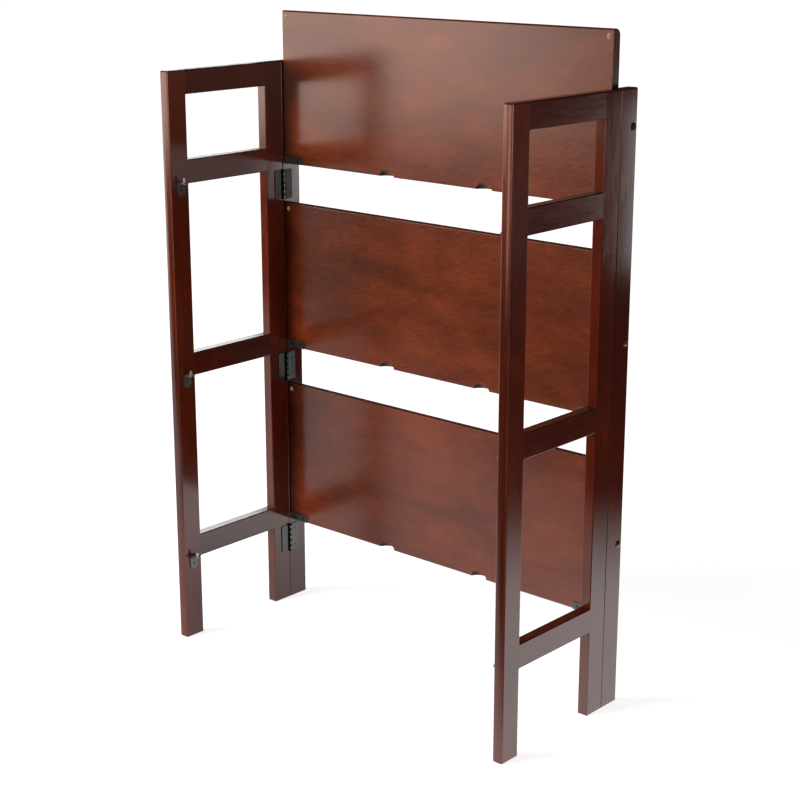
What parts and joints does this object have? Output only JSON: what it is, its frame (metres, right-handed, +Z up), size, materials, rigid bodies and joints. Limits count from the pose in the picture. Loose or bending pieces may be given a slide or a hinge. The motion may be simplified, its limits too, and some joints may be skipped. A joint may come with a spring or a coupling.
{
  "type": "folding bookcase",
  "caption": "Folding wooden bookcase: open side frames hinged to back posts, and shelves that swing up on pivots against the back rails so that the case folds flat.",
  "frame": {"origin": "on the floor, under the middle of the bounding box", "axes": "+X to the right seen from the front, +Y from the open front to the back rails, +Z up"},
  "size_m": [0.716, 0.2915, 1.048],
  "materials": {
    "stained_wood": "dark reddish-brown walnut stain under semi-gloss lacquer, grain along each board",
    "dowel_wood": "bare pale hardwood",
    "dark_steel": "dark gunmetal plating, satin",
    "bright_steel": "plain turned steel"
  },
  "bodies": {
    "back_frame": {"left_back_post": "stained_wood", "right_back_post": "stained_wood", "upper_back_rail": "stained_wood", "middle_back_rail": "stained_wood", "lower_back_rail": "stained_wood", "back_rail_screws": "bright_steel", "back_rail_dowels": "dowel_wood", "left_screw_caps": "stained_wood", "right_screw_caps": "stained_wood", "left_hinge_post_leaves": "dark_steel", "right_hinge_post_leaves": "dark_steel", "left_hinge_pins": "dark_steel", "right_hinge_pins": "dark_steel", "left_post_leaf_screws": "dark_steel", "right_post_leaf_screws": "dark_steel"},
    "left_side_frame": {"left_front_stile": "stained_wood", "left_rear_stile": "stained_wood", "left_top_rail": "stained_wood", "left_upper_rail": "stained_wood", "left_middle_rail": "stained_wood", "left_lower_rail": "stained_wood", "left_frame_dowels": "dowel_wood", "left_hinge_frame_leaves": "dark_steel", "left_frame_leaf_screws": "dark_steel", "left_shelf_catches": "dark_steel", "left_catch_pins": "bright_steel", "left_catch_screws": "dark_steel"},
    "right_side_frame": {"right_front_stile": "stained_wood", "right_rear_stile": "stained_wood", "right_top_rail": "stained_wood", "right_upper_rail": "stained_wood", "right_middle_rail": "stained_wood", "right_lower_rail": "stained_wood", "right_frame_dowels": "dowel_wood", "right_hinge_frame_leaves": "dark_steel", "right_frame_leaf_screws": "dark_steel", "right_shelf_catches": "dark_steel", "right_catch_pins": "bright_steel", "right_catch_screws": "dark_steel"},
    "upper_shelf": {"upper_shelf_panel": "stained_wood", "upper_pivot_brackets": "dark_steel", "upper_pivot_pins": "bright_steel", "upper_bracket_screws": "dark_steel"},
    "middle_shelf": {"middle_shelf_panel": "stained_wood", "middle_pivot_brackets": "dark_steel", "middle_pivot_pins": "bright_steel", "middle_bracket_screws": "dark_steel"},
    "lower_shelf": {"lower_shelf_panel": "stained_wood", "lower_pivot_brackets": "dark_steel", "lower_pivot_pins": "bright_steel", "lower_bracket_screws": "dark_steel"}
  },
  "joints": [
    {"name": "left_frame_fold", "type": "hinge", "parent": "back_frame", "child": "left_side_frame", "pos_m": [-0.3335, 0.1055, 0.436], "axis": [0, 0, -1], "range_deg": [-90, 0]},
    {"name": "right_frame_fold", "type": "hinge", "parent": "back_frame", "child": "right_side_frame", "pos_m": [0.3335, 0.1055, 0.436], "axis": [0, 0, 1], "range_deg": [-90, 0]},
    {"name": "upper_shelf_fold", "type": "hinge", "parent": "back_frame", "child": "upper_shelf", "pos_m": [0, 0.11575, 0.7955], "axis": [1, 0, 0], "range_deg": [0, 90]},
    {"name": "middle_shelf_fold", "type": "hinge", "parent": "back_frame", "child": "middle_shelf", "pos_m": [0, 0.11575, 0.4745], "axis": [1, 0, 0], "range_deg": [0, 90]},
    {"name": "lower_shelf_fold", "type": "hinge", "parent": "back_frame", "child": "lower_shelf", "pos_m": [0, 0.11575, 0.1535], "axis": [1, 0, 0], "range_deg": [0, 90]}
  ]
}
